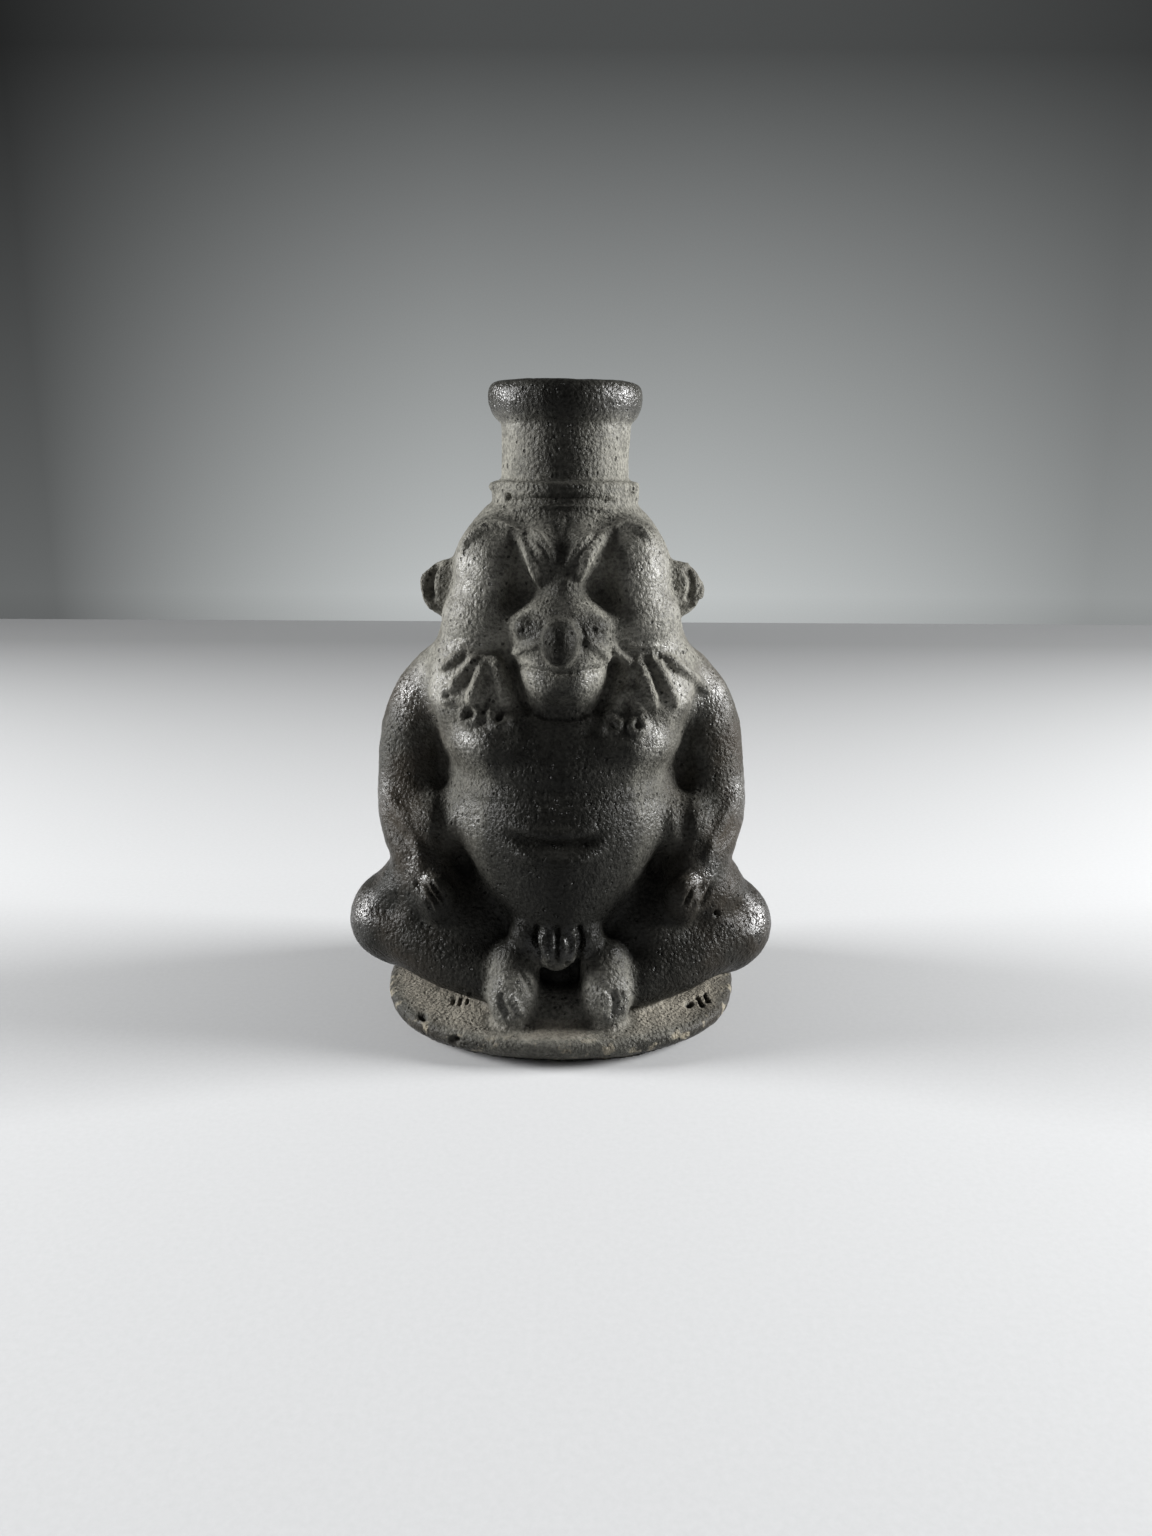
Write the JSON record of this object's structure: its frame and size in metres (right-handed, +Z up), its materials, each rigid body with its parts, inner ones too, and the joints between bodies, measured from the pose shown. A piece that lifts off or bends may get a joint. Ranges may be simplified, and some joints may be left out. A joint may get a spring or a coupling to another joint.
{
  "type": "figural bottle",
  "caption": "Small dark fired-clay bottle shaped as a squatting leonine dwarf on a round base slab, with a short bored neck and rolled lip on the head.",
  "frame": {"origin": "middle of the flat underside of the base slab", "axes": "+Z up along the neck's bore, the figure faces -Y, +X is the viewer's right"},
  "size_m": [0.0698, 0.058, 0.1002],
  "materials": {
    "burnished_clay": "dark reduced clay, worn burnish with pits",
    "dusty_clay": "matt dark clay with a pale dusty film"
  },
  "bodies": {
    "root": {"base_disc": "dusty_clay", "front_shell": "burnished_clay", "back_shell": "burnished_clay", "neck": "dusty_clay", "neck_collar": "dusty_clay", "lip_ring": "burnished_clay", "nose": "burnished_clay", "tongue": "burnished_clay", "tail_tuft": "burnished_clay", "ear_left": "dusty_clay", "ear_right": "dusty_clay", "arm_left": "burnished_clay", "arm_right": "burnished_clay", "leg_left": "burnished_clay", "leg_right": "burnished_clay", "foot_left": "burnished_clay", "foot_right": "burnished_clay", "beard_lock_left_1": "dusty_clay", "beard_lock_left_2": "dusty_clay", "beard_lock_left_3": "dusty_clay", "beard_lock_left_4": "dusty_clay", "beard_lock_right_1": "dusty_clay", "beard_lock_right_2": "dusty_clay", "beard_lock_right_3": "dusty_clay", "beard_lock_right_4": "dusty_clay"}
  },
  "joints": []
}
